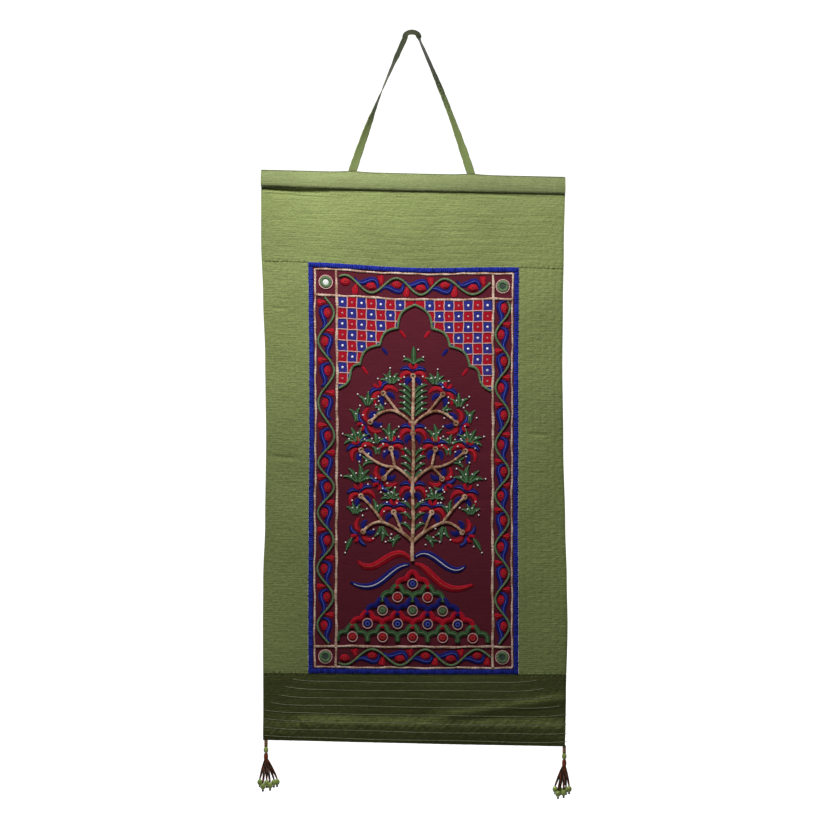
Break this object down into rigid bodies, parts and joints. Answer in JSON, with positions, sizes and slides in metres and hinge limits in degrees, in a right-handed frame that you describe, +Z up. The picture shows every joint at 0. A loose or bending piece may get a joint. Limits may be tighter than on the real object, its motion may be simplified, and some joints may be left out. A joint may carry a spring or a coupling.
{
  "type": "embroidered wall hanging",
  "caption": "Quilted green silk wall hanging with an embroidered maroon centre, a twisted tape hanger and beaded corner tassels.",
  "frame": {"origin": "the hanging point, under the bend of the tape hanger", "axes": "+X to the right as seen, +Z up, the embroidered face looks along -Y"},
  "size_m": [0.5017, 0.0202, 1.2287],
  "materials": {
    "heading_silk": "soft silk sheen",
    "green_silk": "soft silk sheen",
    "shaded_green_silk": "satin sheen",
    "maroon_cloth": "matt plain weave",
    "blue_thread": "satin stitch",
    "peach_thread": "couched thread",
    "green_thread": "couched thread",
    "mirror_disc": "silvered",
    "collar_thread": "stitched thread",
    "silk_tape": "soft silk sheen",
    "glass_bead": "glossy",
    "tassel_thread": "twisted thread"
  },
  "bodies": {
    "root": {"binding_bottom": "blue_thread", "binding_left": "blue_thread", "binding_right": "blue_thread", "binding_top": "blue_thread", "bottom_panel": "shaded_green_silk", "centre_panel": "maroon_cloth", "collar_bottom_left": "collar_thread", "collar_bottom_right": "collar_thread", "collar_top_left": "collar_thread", "collar_top_right": "collar_thread", "end_bead_left_1": "glass_bead", "end_bead_left_2": "glass_bead", "end_bead_left_3": "glass_bead", "end_bead_left_4": "glass_bead", "end_bead_left_5": "glass_bead", "end_bead_left_6": "glass_bead", "end_bead_right_1": "glass_bead", "end_bead_right_2": "glass_bead", "end_bead_right_3": "glass_bead", "end_bead_right_4": "glass_bead", "end_bead_right_5": "glass_bead", "end_bead_right_6": "glass_bead", "frame_inner_bottom": "peach_thread", "frame_inner_left": "peach_thread", "frame_inner_right": "peach_thread", "frame_inner_top": "peach_thread", "frame_outer_bottom": "peach_thread", "frame_outer_left": "peach_thread", "frame_outer_right": "peach_thread", "frame_outer_top": "peach_thread", "hanger_tape": "silk_tape", "heading": "heading_silk", "left_panel": "green_silk", "mirror_bottom_left": "mirror_disc", "mirror_bottom_right": "mirror_disc", "mirror_top_left": "mirror_disc", "mirror_top_right": "mirror_disc", "neck_bead_left": "glass_bead", "neck_bead_right": "glass_bead", "niche_cord": "green_thread", "right_panel": "green_silk", "tassel_cord_left": "silk_tape", "tassel_cord_right": "silk_tape", "tassel_left": "tassel_thread", "tassel_right": "tassel_thread", "top_panel": "green_silk", "tree_trunk": "peach_thread", "vine_bottom": "green_thread", "vine_left": "green_thread", "vine_right": "green_thread", "vine_top": "green_thread"}
  },
  "joints": []
}
